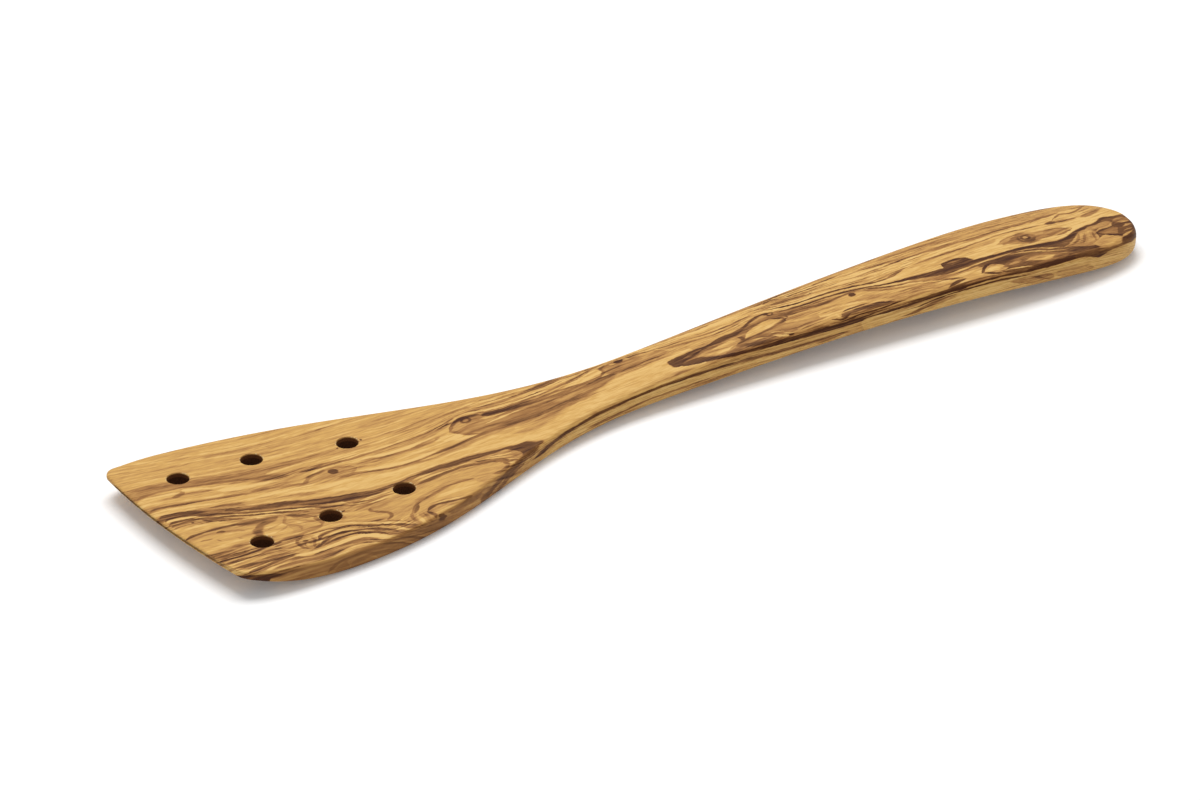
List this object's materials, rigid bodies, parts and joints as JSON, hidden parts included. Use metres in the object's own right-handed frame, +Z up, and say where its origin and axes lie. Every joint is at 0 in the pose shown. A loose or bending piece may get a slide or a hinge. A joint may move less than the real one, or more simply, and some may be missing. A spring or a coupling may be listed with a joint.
{
  "type": "wooden spatula",
  "caption": "One-piece wooden spatula with a thin slanted blade, round drain holes, a narrow neck and a flat rounded handle, for turning and lifting food in a pan.",
  "frame": {"origin": "on the table, under the middle of the spatula's bounding box", "axes": "+X from the blade's front edge to the handle's end, +Y across the blade to the corner that reaches furthest forward, +Z up out of the blade's upper face"},
  "size_m": [0.3176, 0.0676, 0.0121],
  "materials": {
    "olive_wood": "sanded and oiled, satin"
  },
  "bodies": {
    "root": {"spatula": "olive_wood"}
  },
  "joints": []
}
